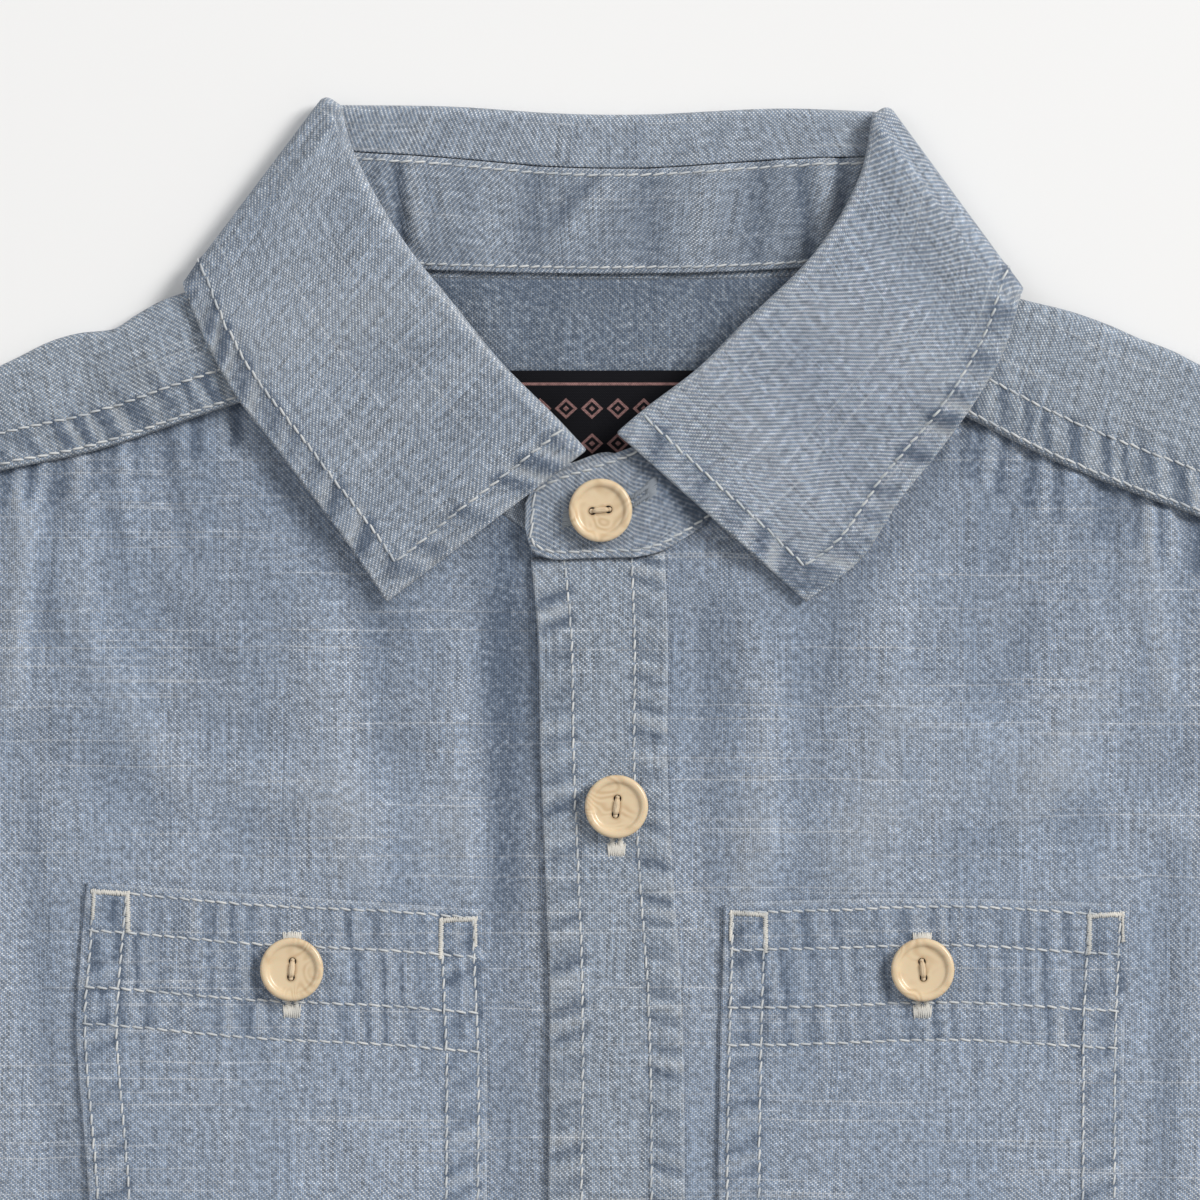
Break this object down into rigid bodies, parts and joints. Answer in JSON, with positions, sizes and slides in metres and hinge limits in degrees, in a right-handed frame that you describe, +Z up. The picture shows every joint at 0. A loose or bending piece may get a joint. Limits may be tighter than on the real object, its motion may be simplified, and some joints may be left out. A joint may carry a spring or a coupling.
{
  "type": "denim shirt",
  "caption": "Child's long-sleeved chambray work shirt laid flat and buttoned, with a fold-down collar on a stand, front placket, shoulder yoke, buttoned chest pockets and plain cuffs.",
  "frame": {"origin": "centre of the shirt's bounding box in plan, on the table under the back panel", "axes": "+X to the wearer's left, +Y towards the collar, +Z up from the table, out of the shirt's front"},
  "size_m": [0.9062, 0.5408, 0.0126],
  "materials": {
    "chambray": "light washed indigo chambray, plain weave with slubs, matte",
    "collar_chambray": "the same cloth, washed paler and greyer on the collar",
    "label_cloth": "near-black woven label with a slight sheen",
    "button_horn": "cream horn-like resin with darker swirls, satin polish"
  },
  "bodies": {
    "root": {"back_panel": "chambray", "yoke": "chambray", "placket": "chambray", "front_right": "chambray", "pocket_right": "chambray", "sleeve_right": "chambray", "cuff_right": "chambray", "front_left": "chambray", "pocket_left": "chambray", "sleeve_left": "chambray", "cuff_left": "chambray", "collar_stand": "collar_chambray", "collar_fall": "collar_chambray", "label": "label_cloth", "button_stand": "button_horn", "button_placket_1": "button_horn", "button_placket_2": "button_horn", "button_placket_3": "button_horn", "button_placket_4": "button_horn", "button_placket_5": "button_horn", "button_pocket_right": "button_horn", "button_pocket_left": "button_horn", "button_cuff_right": "button_horn", "button_cuff_left": "button_horn"}
  },
  "joints": []
}
